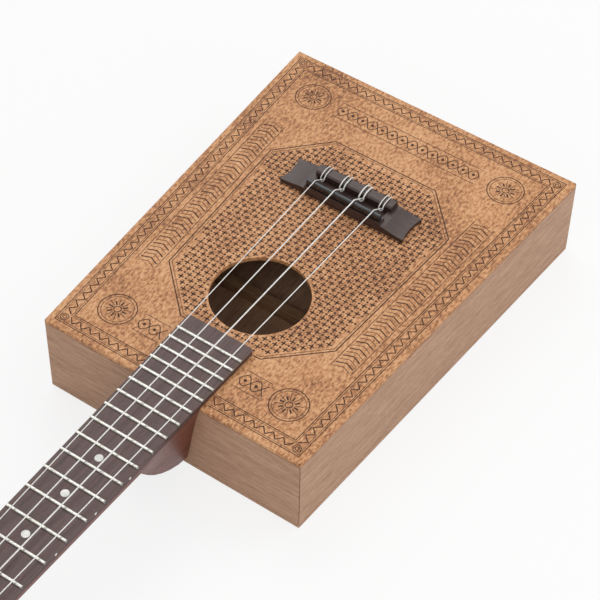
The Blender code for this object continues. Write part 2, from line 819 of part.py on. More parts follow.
def build_bridge():
    half = TIE_BLOCK_LENGTH / 2
    rings = [[(x, y, z) for y, z in bridge_side_profile()] for x in (-half, half)]
    bridge = loft("bridge", rings, black_wood())
    for side in (-1, 1):
        rings = [[(x, y, z) for x, z in wing_profile(side)]
                 for y in (Y_BRIDGE_FRONT, Y_BRIDGE_BACK)]
        join(bridge, loft("bridge_wing", rings, None))
    chord = BRIDGE_WIDTH / 2
    radius = (chord * chord + BRIDGE_END_SCOOP ** 2) / (2 * BRIDGE_END_SCOOP)
    middle = (Y_BRIDGE_FRONT + Y_BRIDGE_BACK) / 2
    for side in (-1, 1):
        x = side * (BRIDGE_LENGTH / 2 - BRIDGE_END_SCOOP + radius)
        cut(bridge, rod("bridge_end_scoop", radius, (x, middle, Z_TOP - BRIDGE_WIDTH),
                        (x, middle, Z_TOP + BRIDGE_WIDTH), sides=96))
    slot = SADDLE_LENGTH / 2 + SEAM
    thick = SADDLE_THICKNESS / 2 + SEAM
    cut(bridge, box("saddle_slot", (-slot, Y_SADDLE - thick, Z_TOP + SADDLE_SLOT_FLOOR),
                    (slot, Y_SADDLE + thick, Z_TOP + SADDLE_HEIGHT)))
    for index, diameter in enumerate(STRING_DIAMETERS):
        x = string_x(index, Y_SADDLE)
        z = Z_TOP + TIE_HOLE_HEIGHT
        cut(bridge, rod("tie_hole", diameter / 2 + SEAM, (x, Y_TIE_FRONT - 0.001, z),
                        (x, Y_TIE_BACK + 0.001, z), sides=12))


def build_saddle():
    """A strip with a rounded top, in the bridge's slot."""
    half = SADDLE_THICKNESS / 2
    foot = Z_TOP + SADDLE_SLOT_FLOOR + SEAM
    profile = [(-half, foot), (half, foot)]
    for k in range(9):
        turn = k / 8 * math.pi
        profile.append((half * math.cos(turn), Z_SADDLE - half + half * math.sin(turn)))
    reach = SADDLE_LENGTH / 2
    rings = [[(x, Y_SADDLE + y, z) for y, z in profile] for x in (-reach, reach)]
    saddle = loft("saddle", rings, black_plastic())
    soften(saddle, ARRIS / 2, angle=60.0)
    smooth(saddle)


# Tuning machines

def post_places():
    """Side, x and y of each string's post in the headstock's frame, from -X to +X."""
    return ((-1, -POST_NEAR_X, -POST_NEAR_AT), (-1, -POST_FAR_X, -POST_FAR_AT),
            (1, POST_FAR_X, -POST_FAR_AT), (1, POST_NEAR_X, -POST_NEAR_AT))


def head_half_width(y):
    """Half the headstock's width beyond its shoulder."""
    share = (-y - HEAD_SHOULDER_AT) / (HEAD_LENGTH - 0.010 - HEAD_SHOULDER_AT)
    return (HEAD_WIDTH_SHOULDER + (HEAD_WIDTH_CROWN - HEAD_WIDTH_SHOULDER) * share) / 2


def mirrored(obj, side):
    """Mirrors a mesh in x for the machines on the -X side."""
    if side > 0:
        return
    bm = bmesh.new()
    bm.from_mesh(obj.data)
    bmesh.ops.scale(bm, vec=(-1, 1, 1), verts=bm.verts)
    bmesh.ops.reverse_faces(bm, faces=bm.faces)
    bm.to_mesh(obj.data)
    bm.free()


def frame_at(name, matrix):
    """An empty on a joint's axis, which carries a moving piece."""
    empty = bpy.data.objects.new(name, None)
    CUTTERS.objects.link(empty)
    empty.hide_render = True
    empty.matrix_world = matrix
    return empty


def carry(obj, empty):
    """Places a piece in an empty's frame, where its mesh was made."""
    obj.parent = empty


def gear_outline():
    """Teeth with straight flanks, as many points a tooth as the shape needs."""
    points = []
    pitch = 2 * math.pi / GEAR_TEETH
    root_half = pitch * GEAR_TOOTH_SHARE * 0.68
    tip_half = pitch * GEAR_TOOTH_SHARE * 0.28
    for tooth in range(GEAR_TEETH):
        middle = tooth * pitch
        for offset, radius in ((-root_half, GEAR_ROOT_RADIUS), (-tip_half, GEAR_OUTER_RADIUS),
                               (tip_half, GEAR_OUTER_RADIUS), (root_half, GEAR_ROOT_RADIUS)):
            points.append((radius * math.cos(middle + offset), radius * math.sin(middle + offset)))
    return points


def build_gear():
    """The gear's outline in two rings, turned against each other by the worm's lead angle."""
    rings = []
    for share in (-0.5, 0.5):
        height = share * GEAR_THICKNESS
        twist = math.tan(WORM_LEAD_ANGLE) * height / GEAR_PITCH_RADIUS
        turn = Matrix.Rotation(-twist, 3, "Z")
        ring = [turn @ Vector((x, y, 0)) for x, y in gear_outline()]
        rings.append([(p.x, p.y, Z_GEAR + height) for p in ring])
    return loft("gear", rings, None)


def post_profile():
    top = POST_HEIGHT
    waist_high = POST_STRING_HOLE_HEIGHT + 0.0018
    collar = Z_PLATE - PLATE_THICKNESS - SEAM
    boss_end = Z_GEAR - GEAR_THICKNESS / 2 - GEAR_BOSS_HEIGHT
    return [(0.0, top), (POST_RADIUS - 0.0010, top), (POST_RADIUS - 0.0003, top - 0.0004),
            (POST_RADIUS, top - 0.0011), (POST_RADIUS, waist_high),
            (POST_WAIST_RADIUS, waist_high - 0.0010), (POST_WAIST_RADIUS, WINDING_LOWEST - 0.0006),
            (POST_RADIUS, WINDING_LOWEST - 0.0016),
            (POST_RADIUS, collar), (GEAR_COLLAR_RADIUS, collar), (GEAR_COLLAR_RADIUS, boss_end),
            (0.0, boss_end)]


def hole_turn(side):
    """Angle of the string hole about the post, where the winding ends."""
    return math.radians(200.0) if side > 0 else math.radians(-20.0)


def build_post(name, side, empty):
    post = turned(name, post_profile(), POST_STEPS, chrome())
    carry(baked(post), empty)
    post = bpy.data.objects[name]
    gear = build_gear()
    mirrored(gear, side)
    carry(gear, empty)
    join(post, gear)
    turn = hole_turn(side)
    reach = Vector((math.cos(turn), math.sin(turn), 0)) * 2 * POST_RADIUS
    at = Vector((0, 0, POST_STRING_HOLE_HEIGHT))
    hole = rod("string_hole", POST_STRING_HOLE_RADIUS, at - reach, at + reach, sides=12)
    carry(hole, empty)
    cut(post, hole)
    smooth(post)


def worm_thread():
    """A trapezoid ridge spun round the shaft's axis, one pitch further for each turn."""
    start = -WORM_TURNS / 2 * WORM_PITCH
    inner = WORM_ROOT_RADIUS - 0.0004
    root = WORM_PITCH * WORM_ROOT_SHARE
    tip = WORM_PITCH * WORM_TIP_SHARE
    bm = bmesh.new()
    corners = ((start - root, inner), (start - tip, WORM_TIP_RADIUS), (start + tip, WORM_TIP_RADIUS),
               (start + root, inner))
    verts = [bm.verts.new((x, radius, 0.0)) for x, radius in corners]
    face = bm.faces.new(verts)
    steps = int(WORM_TURNS * WORM_STEPS)
    bmesh.ops.spin(bm, geom=[face, *face.edges, *face.verts], cent=(0, 0, 0), axis=(1, 0, 0),
                   dvec=(WORM_PITCH / WORM_STEPS, 0, 0), angle=WORM_TURNS * 2 * math.pi, steps=steps,
                   use_duplicate=False)
    return from_bmesh("worm_thread", bm, None)


def worm_half_length():
    return (WORM_TURNS / 2 + 0.34) * WORM_PITCH


def build_worm(name, side, reach, empty):
    """Worm and shaft in one piece along x, with a collar outside each ear."""
    half = worm_half_length()
    ear_out = half + SHAFT_CLEARANCE + EAR_THICKNESS + SHAFT_CLEARANCE
    collar = 0.0010
    profile = [(0.0, reach), (SHAFT_RADIUS * 0.8, reach), (SHAFT_RADIUS, reach - 0.0003),
               (SHAFT_RADIUS, ear_out + collar), (SHAFT_RADIUS * 1.6, ear_out + collar),
               (SHAFT_RADIUS * 1.6, ear_out), (SHAFT_RADIUS, ear_out), (SHAFT_RADIUS, half),
               (WORM_ROOT_RADIUS, half), (WORM_ROOT_RADIUS, -half), (SHAFT_RADIUS, -half),
               (SHAFT_RADIUS, -ear_out - 0.0006), (0.0, -ear_out - 0.0006)]
    shaft = baked(turned(name, profile, WORM_STEPS, brass()))
    shaft.data.transform(Matrix.Rotation(math.pi / 2, 4, "Y"))
    thread = worm_thread()
    mirrored(shaft, side)
    mirrored(thread, side)
    carry(shaft, empty)
    carry(thread, empty)
    join(shaft, thread)
    smooth(shaft)


def build_button(name, side, start, empty):
    """A flattened oval knob with a neck, bored for the shaft."""
    steps = 7
    profile = [(0.0, BUTTON_LENGTH)]
    for k in range(1, steps + 1):
        turn = math.pi / 2 - k / steps * math.pi * 0.80
        profile.append((math.cos(turn) / 2, BUTTON_LENGTH * (0.60 + 0.40 * math.sin(turn))))
    profile += [(0.24, BUTTON_LENGTH * 0.12), (0.24, 0.0), (0.0, 0.0)]
    knob = baked(turned(name, [(r * BUTTON_HEIGHT, z) for r, z in profile], POST_STEPS,
                        pearl_plastic()))
    squeeze = Matrix.Diagonal((1.0, BUTTON_WIDTH / BUTTON_HEIGHT, 1.0, 1.0))
    knob.data.transform(Matrix.Translation((start, 0, 0)) @ Matrix.Rotation(math.pi / 2, 4, "Y")
                        @ squeeze)
    mirrored(knob, side)
    carry(knob, empty)
    bore = rod("button_bore", SHAFT_RADIUS + SEAM, (side * (start - BUTTON_LENGTH), 0, 0),
               (side * (start + BUTTON_BORE_DEPTH), 0, 0), sides=WORM_STEPS)
    carry(bore, empty)
    cut(knob, bore)
    smooth(knob)


def build_machine_plate(name, side, empty):
    """A base plate on the back of the headstock with two ears that hold the shaft."""
    low = -PLATE_PAST_GEAR
    high = CENTRE_DISTANCE + PLATE_PAST_WORM
    plate = box(name, (-PLATE_HALF_WIDTH, low, Z_PLATE - PLATE_THICKNESS),
                (PLATE_HALF_WIDTH, high, Z_PLATE), chrome())
    carry(plate, empty)
    ear_in = worm_half_length() + SHAFT_CLEARANCE
    ear_low = Z_GEAR - SHAFT_RADIUS * 2.2
    for edge in (-1, 1):
        inner = edge * ear_in
        outer = edge * (ear_in + EAR_THICKNESS)
        ear = box("ear", (min(inner, outer), CENTRE_DISTANCE - EAR_HALF_LENGTH, ear_low),
                  (max(inner, outer), CENTRE_DISTANCE + EAR_HALF_LENGTH, Z_PLATE - PLATE_THICKNESS / 2))
        soften(ear, ARRIS, segments=1)
        carry(ear, empty)
        join(plate, ear)
    reach = ear_in + 4 * EAR_THICKNESS
    bore = rod("shaft_bore", SHAFT_RADIUS + SHAFT_CLEARANCE, (-reach, CENTRE_DISTANCE, Z_GEAR),
               (reach, CENTRE_DISTANCE, Z_GEAR), sides=WORM_STEPS)
    carry(bore, empty)
    cut(plate, bore)
    opening = rod("post_opening", POST_RADIUS + POST_BORE_CLEARANCE, (0, 0, Z_GEAR), (0, 0, 0),
                  sides=POST_STEPS)
    carry(opening, empty)
    cut(plate, opening)


def build_machines():
    for string, (side, x, y) in zip(STRING_NAMES, post_places()):
        post_frame = frame_at("post_axis_" + string, head_matrix() @ Matrix.Translation((x, y, 0)))
        worm_place = Matrix.Translation((x, y + CENTRE_DISTANCE, Z_GEAR))
        worm_frame = frame_at("worm_axis_" + string, head_matrix() @ worm_place)
        build_machine_plate("tuner_plate_" + string, side, post_frame)
        build_post("string_post_" + string, side, post_frame)
        start = head_half_width(y + CENTRE_DISTANCE) + BUTTON_OFF_HEAD - abs(x)
        reach = start + BUTTON_BORE_DEPTH - SEAM
        build_worm("worm_shaft_" + string, side, reach, worm_frame)
        build_button("button_" + string, side, start, worm_frame)


# Strings

def winding_radius(index):
    return POST_WAIST_RADIUS + SEAM + STRING_DIAMETERS[index] / 2


def winding_points(index, side):
    """Turns round the post in its own frame, then in through the string hole and out beyond it."""
    radius = winding_radius(index)
    pitch = STRING_DIAMETERS[index] + STRAND_GAP
    start = math.pi if side > 0 else 0.0
    end = hole_turn(side) + side * 2 * math.pi * WINDING_TURNS
    clear = 0.50
    sweep = side * (end - start) - clear
    count = int(sweep / (2 * math.pi) * WINDING_POINTS)
    top = POST_STRING_HOLE_HEIGHT
    rise = pitch * WINDING_RISE
    low = top - rise - pitch * sweep / (2 * math.pi)
    points = []
    for k in range(count + 1):
        turn = start + side * sweep * k / count
        left = (count - k) * 4 / WINDING_POINTS
        ease = max(0.0, 1 - left)
        height = low + (top - rise - low) * k / count + rise * ease * ease * (3 - 2 * ease)
        points.append(Vector((radius * math.cos(turn), radius * math.sin(turn), height)))
    out = Vector((math.cos(end), math.sin(end), 0))
    across = Vector((-math.sin(end), math.cos(end), 0)) * side
    for away, off in ((radius * 0.99, -0.00095), (radius * 0.90, -0.00040),
                      (radius * 0.62, -0.00006), (radius * 0.30, 0.0), (0.0, 0.0),
                      (-radius - WINDING_TAIL, 0.0)):
        points.append(out * away + across * off + Vector((0, 0, top)))
    return points


def build_winding(index, side, x, y):
    name = STRING_NAMES[index]
    points = winding_points(index, side)
    diameter = STRING_DIAMETERS[index]
    winding = tube("winding_" + name, points, diameter / 2, nylon())
    winding.matrix_world = head_matrix() @ Matrix.Translation((x, y, 0))
    print("winding", name, "least gap to itself %.2f mm" % (least_gap(points, diameter) * 1000))


def string_route(index, side, post):
    """From the winding over nut and saddle, through the tie block, round the string and back."""
    diameter = STRING_DIAMETERS[index]
    radius = diameter / 2
    rest = radius + SEAM
    strand = diameter + STRAND_GAP
    first = winding_points(index, side)[0]
    start = head_matrix() @ (Vector((post[0], post[1], 0)) + first)
    nut_x = string_x(index, Y_NUT)
    x = string_x(index, Y_SADDLE)
    z_nut = string_z_at_nut(index)
    toward = (Vector((nut_x, Y_NUT_BACK, z_nut)) - start).normalized()
    z_hole = Z_TOP + TIE_HOLE_HEIGHT
    z_block = Z_TOP + TIE_BLOCK_HEIGHT + rest
    z_saddle = Z_SADDLE + rest
    side_x = 1 if index < 2 else -1
    fall = (z_saddle - z_hole) / (Y_TIE_FRONT - 0.0010 - Y_SADDLE - 0.0015)
    z_under = z_hole + fall * 0.0010
    return [start + toward * SEAM,
            (nut_x, Y_NUT_BACK, z_nut), (nut_x, Y_NUT - SEAM, z_nut),
            (x, Y_SADDLE - 0.0012, z_saddle - 0.0001), (x, Y_SADDLE + 0.0006, z_saddle),
            (x, Y_SADDLE + 0.0018, z_saddle - 0.0006),
            (x, Y_TIE_FRONT - 0.0007, z_hole + 0.0001), (x, Y_TIE_FRONT + 0.0006, z_hole),
            (x, Y_TIE_BACK + 0.0002, z_hole),
            (x + side_x * strand * 0.4, Y_TIE_BACK + rest + 0.0006, z_hole + 0.0010),
            (x + side_x * strand * 0.8, Y_TIE_BACK + rest + 0.0003, z_block - 0.0011),
            (x + side_x * strand, Y_TIE_BACK - 0.0012, z_block),
            (x + side_x * strand, Y_TIE_FRONT + 0.0012, z_block),
            (x + side_x * strand, Y_TIE_FRONT - rest - 0.0008, z_block - 0.0014),
            (x + side_x * strand * 1.1, Y_TIE_FRONT - 0.0022, z_under + 0.0004),
            (x, Y_TIE_FRONT - 0.0026, z_under - strand),
            (x - side_x * strand * 1.1, Y_TIE_FRONT - 0.0020, z_under + 0.0004),
            (x - side_x * strand, Y_TIE_FRONT - rest - 0.0008, z_block - 0.0014),
            (x - side_x * strand, Y_TIE_FRONT + 0.0012, z_block),
            (x - side_x * strand, Y_TIE_BACK - 0.0012, z_block),
            (x - side_x * strand, Y_TIE_BACK + rest + 0.0003, z_block - 0.0014)]


def build_strings():
    for index, (side, x, y) in enumerate(post_places()):
        build_winding(index, side, x, y)
        route = string_route(index, side, (x, y))
        points = smooth_route(route, 2)
        diameter = STRING_DIAMETERS[index]
        name = STRING_NAMES[index]
        tube("string_" + name, points, diameter / 2, nylon())
        print("string", name, "least gap to itself %.2f mm" % (least_gap(points, diameter) * 1000))


def main():
    clear_scene()
    make_collections()
    build_plates()
    build_sides()
    build_framing()
    build_neck()
    build_fingerboard()
    for number in range(1, FRET_COUNT + 1):
        build_fret(number)
    build_nut()
    build_bridge()
    build_saddle()
    build_machines()
    build_strings()


main()
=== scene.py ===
"""Looks of a cigar box ukulele: woods, engraving, inlays, machine fittings and the studio stage."""

import json
import math

import bmesh
import bpy
from mathutils import Matrix, Vector


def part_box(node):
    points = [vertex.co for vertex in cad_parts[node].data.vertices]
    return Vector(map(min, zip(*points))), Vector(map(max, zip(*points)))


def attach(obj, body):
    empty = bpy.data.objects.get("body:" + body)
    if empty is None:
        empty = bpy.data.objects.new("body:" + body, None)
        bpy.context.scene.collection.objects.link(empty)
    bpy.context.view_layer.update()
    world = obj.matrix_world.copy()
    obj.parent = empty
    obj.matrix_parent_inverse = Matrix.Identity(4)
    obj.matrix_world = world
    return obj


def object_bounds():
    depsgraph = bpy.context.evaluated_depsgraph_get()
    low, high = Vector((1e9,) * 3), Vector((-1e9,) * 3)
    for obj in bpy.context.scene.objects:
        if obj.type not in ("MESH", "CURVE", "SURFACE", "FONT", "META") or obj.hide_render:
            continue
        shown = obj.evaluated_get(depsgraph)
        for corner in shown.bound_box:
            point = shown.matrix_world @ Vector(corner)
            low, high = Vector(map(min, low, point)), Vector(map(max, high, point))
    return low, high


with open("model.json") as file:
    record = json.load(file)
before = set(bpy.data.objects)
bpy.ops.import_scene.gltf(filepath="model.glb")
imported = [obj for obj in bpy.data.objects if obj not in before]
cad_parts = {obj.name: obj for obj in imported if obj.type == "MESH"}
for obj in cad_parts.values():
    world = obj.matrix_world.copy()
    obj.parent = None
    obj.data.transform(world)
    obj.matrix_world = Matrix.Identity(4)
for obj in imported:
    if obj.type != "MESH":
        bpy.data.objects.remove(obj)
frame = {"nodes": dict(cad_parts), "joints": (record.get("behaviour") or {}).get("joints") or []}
CAD_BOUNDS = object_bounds()

bl_info = {
    "name": "Cigar Box Ukulele",
    "version": (1, 0, 0),
    "blender": (4, 5, 0),
    "location": "View3D > Sidebar > Ukulele",
    "description": "Finishes a box-bodied ukulele with engraved veneer, inlays and fittings",
    "category": "Object",
}

BODY = "instrument"
STRINGS = ("a", "e", "c", "g")
FRET_COUNT = 18

# Camera, worked out from the photograph's box edges and fret spacing
CAMERA_AT = (0.456904, -0.684615, 0.936422)
CAMERA_ELEVATION = 48.427
CAMERA_AZIMUTH = 34.065
CAMERA_ROLL = 1.26
CAMERA_LENS = 120.64
CAMERA_SENSOR = 36.0
CAMERA_REACH = 20.0

# Stage: each lamp has its place, its power and its width
LAMPS = (((-0.9, 0.7, 1.6), 13.0, 1.4), ((0.9, 0.9, 1.5), 8.0, 1.2),
         ((0.3, -1.5, 1.3), 9.0, 1.4), ((1.5, -0.3, 0.9), 6.0, 1.1))
LAMP_TARGET = Vector((0, -0.05, 0.03))
WHITE = (1, 1, 1, 1)
SKY_LEVEL = 0.35
FLOOR_WHITE_SHARE = 0.80
FLOOR_SIZE = 6.0
FLOOR_DROP = 0.0002

# Sizes of the instrument that the engraving and the fittings line up with
TOP_LOW, TOP_HIGH = (Vector(corner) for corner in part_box("top_plate"))
BOARD_LOW, BOARD_HIGH = (Vector(corner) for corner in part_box("fingerboard"))
BOARD_WIDTH_NUT = 0.0383
BOARD_WIDTH_END = 0.0460
NECK_WIDTH = 0.1805
HOLE_CENTRE = Vector((0.0, -0.0506))
HOLE_RADIUS = 0.0304
SCALE_LENGTH = 0.385
SADDLE_Y = 0.0357

# Line weights of the engraving
HAIR = 0.0003
THIN = 0.0004
LINE = 0.0005
FIRM = 0.0006
BOLD = 0.0007
HEAVY = 0.0008
RAY_BOLD = 0.0010
LINE_LIFT = 0.00004
CLEAR_MARGIN = 0.0008
STROKE_STEP = 0.0015

# Border: each rule has its inset from the edge and its weight
BORDER_RULES = ((0.0045, LINE), (0.0057, HAIR), (0.0117, HAIR), (0.0129, LINE))
BORDER_MIDDLE = 0.0087
ZIGZAG_SWING = 0.0020
ZIGZAG_PITCH = 0.0068
CORNER_RINGS = (0.0012, 0.0024)

# Field of crosses
FIELD_CENTRE_Y = -0.0040
FIELD_HALF_LENGTH = 0.0860
FIELD_INSET = 0.0345
FIELD_CUT = 0.0300
CUT_SHRINK = 0.4
CUT_MARGIN_SHARE = 1.4
FIELD_RULES = ((0.0, BOLD), (0.0016, HAIR))
FIELD_COLUMNS = 12
CROSS_PITCH = 0.0072
CROSS_ARM = 0.0019
CROSS_MARGIN = 0.0038
FIELD_DOT_RADIUS = 0.0008
FIELD_DOT_MARGIN = 0.0030

# Chevron columns
COLUMN_INSET = 0.0238
COLUMN_HALF = 0.0070
COLUMN_LOW = FIELD_CENTRE_Y - 0.066
COLUMN_HIGH = FIELD_CENTRE_Y + 0.078
CHEVRON_PITCH = 0.0032
CHEVRON_RISE = 0.0024
CHEVRON_MARGIN = 0.0012
CHEVRON_START = 0.2

# Rosettes: each ring has its radius and its weight
ROSETTE_INSET = 0.031
ROSETTE_RINGS = ((0.0022, FIRM), (0.0098, HAIR), (0.0116, FIRM))
RAY_START = 0.0032
LONG_RAY = 0.0084
SHORT_RAY = 0.0062
RAY_PAIRS = 8

# Wave bands: each span has its height, its left end and its right end
BAND_SPANS = ((TOP_HIGH.y - ROSETTE_INSET, -0.0525, 0.0525),
              (TOP_LOW.y + ROSETTE_INSET, -0.0450, -0.0270),
              (TOP_LOW.y + ROSETTE_INSET, 0.0270, 0.0450))
BAND_HALF = 0.0068
BAND_SWING = 0.0042
BAND_PERIOD = 0.0150
BAND_STEP = 0.0010
BAND_EYE_RADIUS = 0.0011

# Inlays and machine fittings
DOT_FRETS = (5, 7, 9)
DOT_THICKNESS = 0.0001
SIDE_DOT_DEPTH = 0.0017
BUSHING_BORE = 0.0033
BUSHING_BASE = 0.0002
BUSHING_FLANGE = 0.0007
BUSHING_TOP = 0.0014
BUSHING_SLOPE = 0.0009
BUSHING_STEPS = 40
SCREW_PLACES = ((-0.0050, -0.0053), (0.0050, -0.0053), (0.0, 0.0152))
SCREW_RADIUS = 0.0013
SCREW_FLATTENING = 0.55
PLATE_FACE = -0.0128

# Surface relief
PORE_BUMP = 0.06
FIGURE_BUMP = 0.08
BUMP_DEPTH = 0.0002


def to_linear(hex_colour):
    """An sRGB hex colour as linear RGBA."""
    channels = [int(hex_colour[i:i + 2], 16) / 255 for i in (0, 2, 4)]
    curve = [c / 12.92 if c <= 0.04045 else ((c + 0.055) / 1.055) ** 2.4 for c in channels]
    return (*curve, 1.0)


def socket_of(made, key):
    """An input by number, as in i0, or by name, with an underscore for each space."""
    if key[0] == "i" and key[1:].isdigit():
        return made.inputs[int(key[1:])]
    return made.inputs[key.replace("_", " ")]


def node(tree, kind, settings=None, **links):
    """Adds one node, sets its properties and inputs, and links each value that is a socket."""
    made = tree.nodes.new(kind)
    for key, value in (settings or {}).items():
        setattr(made, key, value)
    for key, value in links.items():
        socket = socket_of(made, key)
        if isinstance(value, bpy.types.NodeSocket):
            tree.links.new(value, socket)
        else:
            socket.default_value = value
    return made


def new_material(name, roughness, metallic=0.0, coat=0.0):
    made = bpy.data.materials.new(name)
    made.use_nodes = True
    shader = made.node_tree.nodes["Principled BSDF"]
    shader.inputs["Roughness"].default_value = roughness
    shader.inputs["Metallic"].default_value = metallic
    shader.inputs["Coat Weight"].default_value = coat
    return made, made.node_tree, shader


def ramp(tree, factor, stops):
    made = node(tree, "ShaderNodeValToRGB", Fac=factor)
    elements = made.color_ramp.elements
    elements[0].position, elements[0].color = stops[0][0], to_linear(stops[0][1])
    elements[1].position, elements[1].color = stops[-1][0], to_linear(stops[-1][1])
    for position, colour in stops[1:-1]:
        elements.new(position).color = to_linear(colour)
    return made.outputs["Color"]


def figured(tree, shader, share, broad, fine, stops, bump):
    """Mixes two noises into the colour, and raises the surface by the one that carries the relief."""
    mixed = node(tree, "ShaderNodeMix", Factor=share, i2=broad, i3=fine)
    tree.links.new(ramp(tree, mixed.outputs["Result"], stops), shader.inputs["Base Color"])
    strength, height = bump
    relief = node(tree, "ShaderNodeBump", Strength=strength, Distance=BUMP_DEPTH, Height=height)
    tree.links.new(relief.outputs["Normal"], shader.inputs["Normal"])


def grained_wood(name, stops, stretch, scale, roughness):
    """Timber whose fibres run along the axis with the smallest stretch, with fine pore streaks."""
    made, tree, shader = new_material(name, roughness)
    place = node(tree, "ShaderNodeTexCoord").outputs["Object"]
    drawn = node(tree, "ShaderNodeMapping", Vector=place, Scale=stretch).outputs["Vector"]
    band = node(tree, "ShaderNodeTexNoise", Vector=drawn, Scale=scale,
                Detail=6.0, Roughness=0.65).outputs["Fac"]
    pore = node(tree, "ShaderNodeTexNoise", Vector=drawn, Scale=scale * 5,
                Detail=3.0, Roughness=0.7).outputs["Fac"]
    figured(tree, shader, 0.5, band, pore, stops, (PORE_BUMP, pore))
    return made


def figured_veneer():
    """Tan veneer with a short mottled figure a few millimetres long, sanded and open-pored."""
    made, tree, shader = new_material("sanded_figured_veneer", 0.60)
    place = node(tree, "ShaderNodeTexCoord").outputs["Object"]
    drawn = node(tree, "ShaderNodeMapping", Vector=place, Scale=(1.6, 0.8, 1.0)).outputs["Vector"]
    mottle = node(tree, "ShaderNodeTexNoise", Vector=drawn, Scale=420.0,
                  Detail=5.0, Roughness=0.72).outputs["Fac"]
    cloud = node(tree, "ShaderNodeTexNoise", Vector=place, Scale=28.0, Detail=3.0).outputs["Fac"]
    stops = ((0.36, "6E4326"), (0.45, "AC7448"), (0.52, "CC9464"), (0.61, "DFAC7E"))
    figured(tree, shader, 0.22, mottle, cloud, stops, (FIGURE_BUMP, mottle))
    return made


def speckled(name, dark, light, scale, roughness, metallic=0.0, coat=0.0):
    """A smooth finish with a faint variation, for metal, plastic and burnt lines."""
    made, tree, shader = new_material(name, roughness, metallic, coat)
    place = node(tree, "ShaderNodeTexCoord").outputs["Object"]
    grain = node(tree, "ShaderNodeTexNoise", Vector=place, Scale=scale, Detail=3.0)
    stops = ((0.35, dark), (0.65, light))
    tree.links.new(ramp(tree, grain.outputs["Fac"], stops), shader.inputs["Base Color"])
    return made


def make_finishes():
    mahogany = ((0.36, "8E6A52"), (0.46, "AB8468"), (0.56, "BC967A"), (0.66, "C8A68A"))
    stained = ((0.36, "44190F"), (0.50, "642C1C"), (0.64, "82442C"))
    rosewood = ((0.34, "2E201E"), (0.46, "46312E"), (0.56, "57403B"), (0.68, "6E4A40"))
    walnut = ((0.36, "241815"), (0.52, "3A2822"), (0.68, "553A30"))
    spruce = ((0.36, "7A5B40"), (0.52, "9C7A58"), (0.68, "B39070"))
    return {
        "veneer": figured_veneer(),
        "side_y": grained_wood("sanded_mahogany_long", mahogany, (9.0, 0.7, 9.0), 60.0, 0.62),
        "side_x": grained_wood("sanded_mahogany_cross", mahogany, (0.7, 9.0, 9.0), 60.0, 0.62),
        "neck": grained_wood("stained_satin_mahogany", stained, (8.0, 0.6, 8.0), 55.0, 0.42),
        "board": grained_wood("oiled_rosewood", rosewood, (12.0, 0.5, 12.0), 70.0, 0.50),
        "bridge": grained_wood("satin_dark_walnut", walnut, (0.7, 9.0, 9.0), 80.0, 0.40),
        "framing": grained_wood("raw_spruce", spruce, (0.8, 9.0, 9.0), 50.0, 0.75),
        "fret": speckled("polished_nickel_silver", "9A9892", "BCBAB2", 900.0, 0.28, 1.0),
        "chrome": speckled("chromed_steel", "C4C6CA", "DDDFE2", 700.0, 0.14, 1.0),
        "worm": speckled("turned_brass", "A98647", "C8A766", 900.0, 0.28, 1.0),
        "saddle": speckled("moulded_black_abs", "101114", "1C1D20", 500.0, 0.18, coat=0.3),
        "pearl": speckled("pearl_plastic", "C9CBC6", "F0EEE4", 260.0, 0.24, coat=0.3),
        "nylon": speckled("drawn_white_nylon", "E4E2DC", "F8F7F3", 800.0, 0.32),
        "burnt": speckled("burnt_line", "241209", "4A2A16", 1200.0, 0.80),
    }


FINISHES = {}


def finishes():
    """The finishes by name, made once and shared by the operators."""
    if not FINISHES:
        FINISHES.update(make_finishes())
    return FINISHES


def finish_piece(name, bm, finish):
    """A finished mesh at the origin, riding on the instrument."""
    bmesh.ops.recalc_face_normals(bm, faces=bm.faces)
    mesh = bpy.data.meshes.new(name)
    bm.to_mesh(mesh)
    bm.free()
    mesh.materials.append(finish)
    obj = bpy.data.objects.new(name, mesh)
    bpy.context.scene.collection.objects.link(obj)
    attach(obj, BODY)


def dress_nodes():
    """Gives each piece of the instrument its finish."""
    groups = {
        "veneer": ("top_plate",),
        "side_y": ("bass_side_board", "treble_side_board", "back_plate"),
        "side_x": ("neck_end_board", "tail_board", "neck_block", "bridge_plate"),
        "framing": ("top_lining", "back_lining", "top_brace", "back_brace"),
        "neck": ("neck",),
        "board": ("fingerboard",),
        "bridge": ("bridge",),
        "saddle": ("saddle",),
        "pearl": ("nut",) + tuple("button_" + s for s in STRINGS),
        "fret": tuple("fret_%02d" % n for n in range(1, FRET_COUNT + 1)),
        "nylon": tuple(kind + s for kind in ("string_", "winding_") for s in STRINGS),
        "chrome": tuple(kind + s for kind in ("tuner_plate_", "string_post_") for s in STRINGS),
        "worm": tuple("worm_shaft_" + s for s in STRINGS),
    }
    for finish, names in groups.items():
        for name in names:
            obj = frame["nodes"][name]
            if not obj.material_slots:
                obj.data.materials.append(finishes()[finish])
            for slot in obj.material_slots:
                slot.material = finishes()[finish]


# Engraving, drawn in plan on the top plate

def half_width(y, inset):
    """Half the width of the top at y, less an inset; the box widens towards its tail."""
    share = (y - TOP_LOW.y) / (TOP_HIGH.y - TOP_LOW.y)
    return (NECK_WIDTH + (TOP_HIGH.x - TOP_LOW.x - NECK_WIDTH) * share) / 2 - inset


def blocked(point, margin=CLEAR_MARGIN):
    """Where nothing is engraved: the sound hole and the strip under the fingerboard."""
    if (Vector(point) - HOLE_CENTRE).length < HOLE_RADIUS + margin:
        return True
    return abs(point[0]) < BOARD_HIGH.x + margin and point[1] < BOARD_HIGH.y + margin


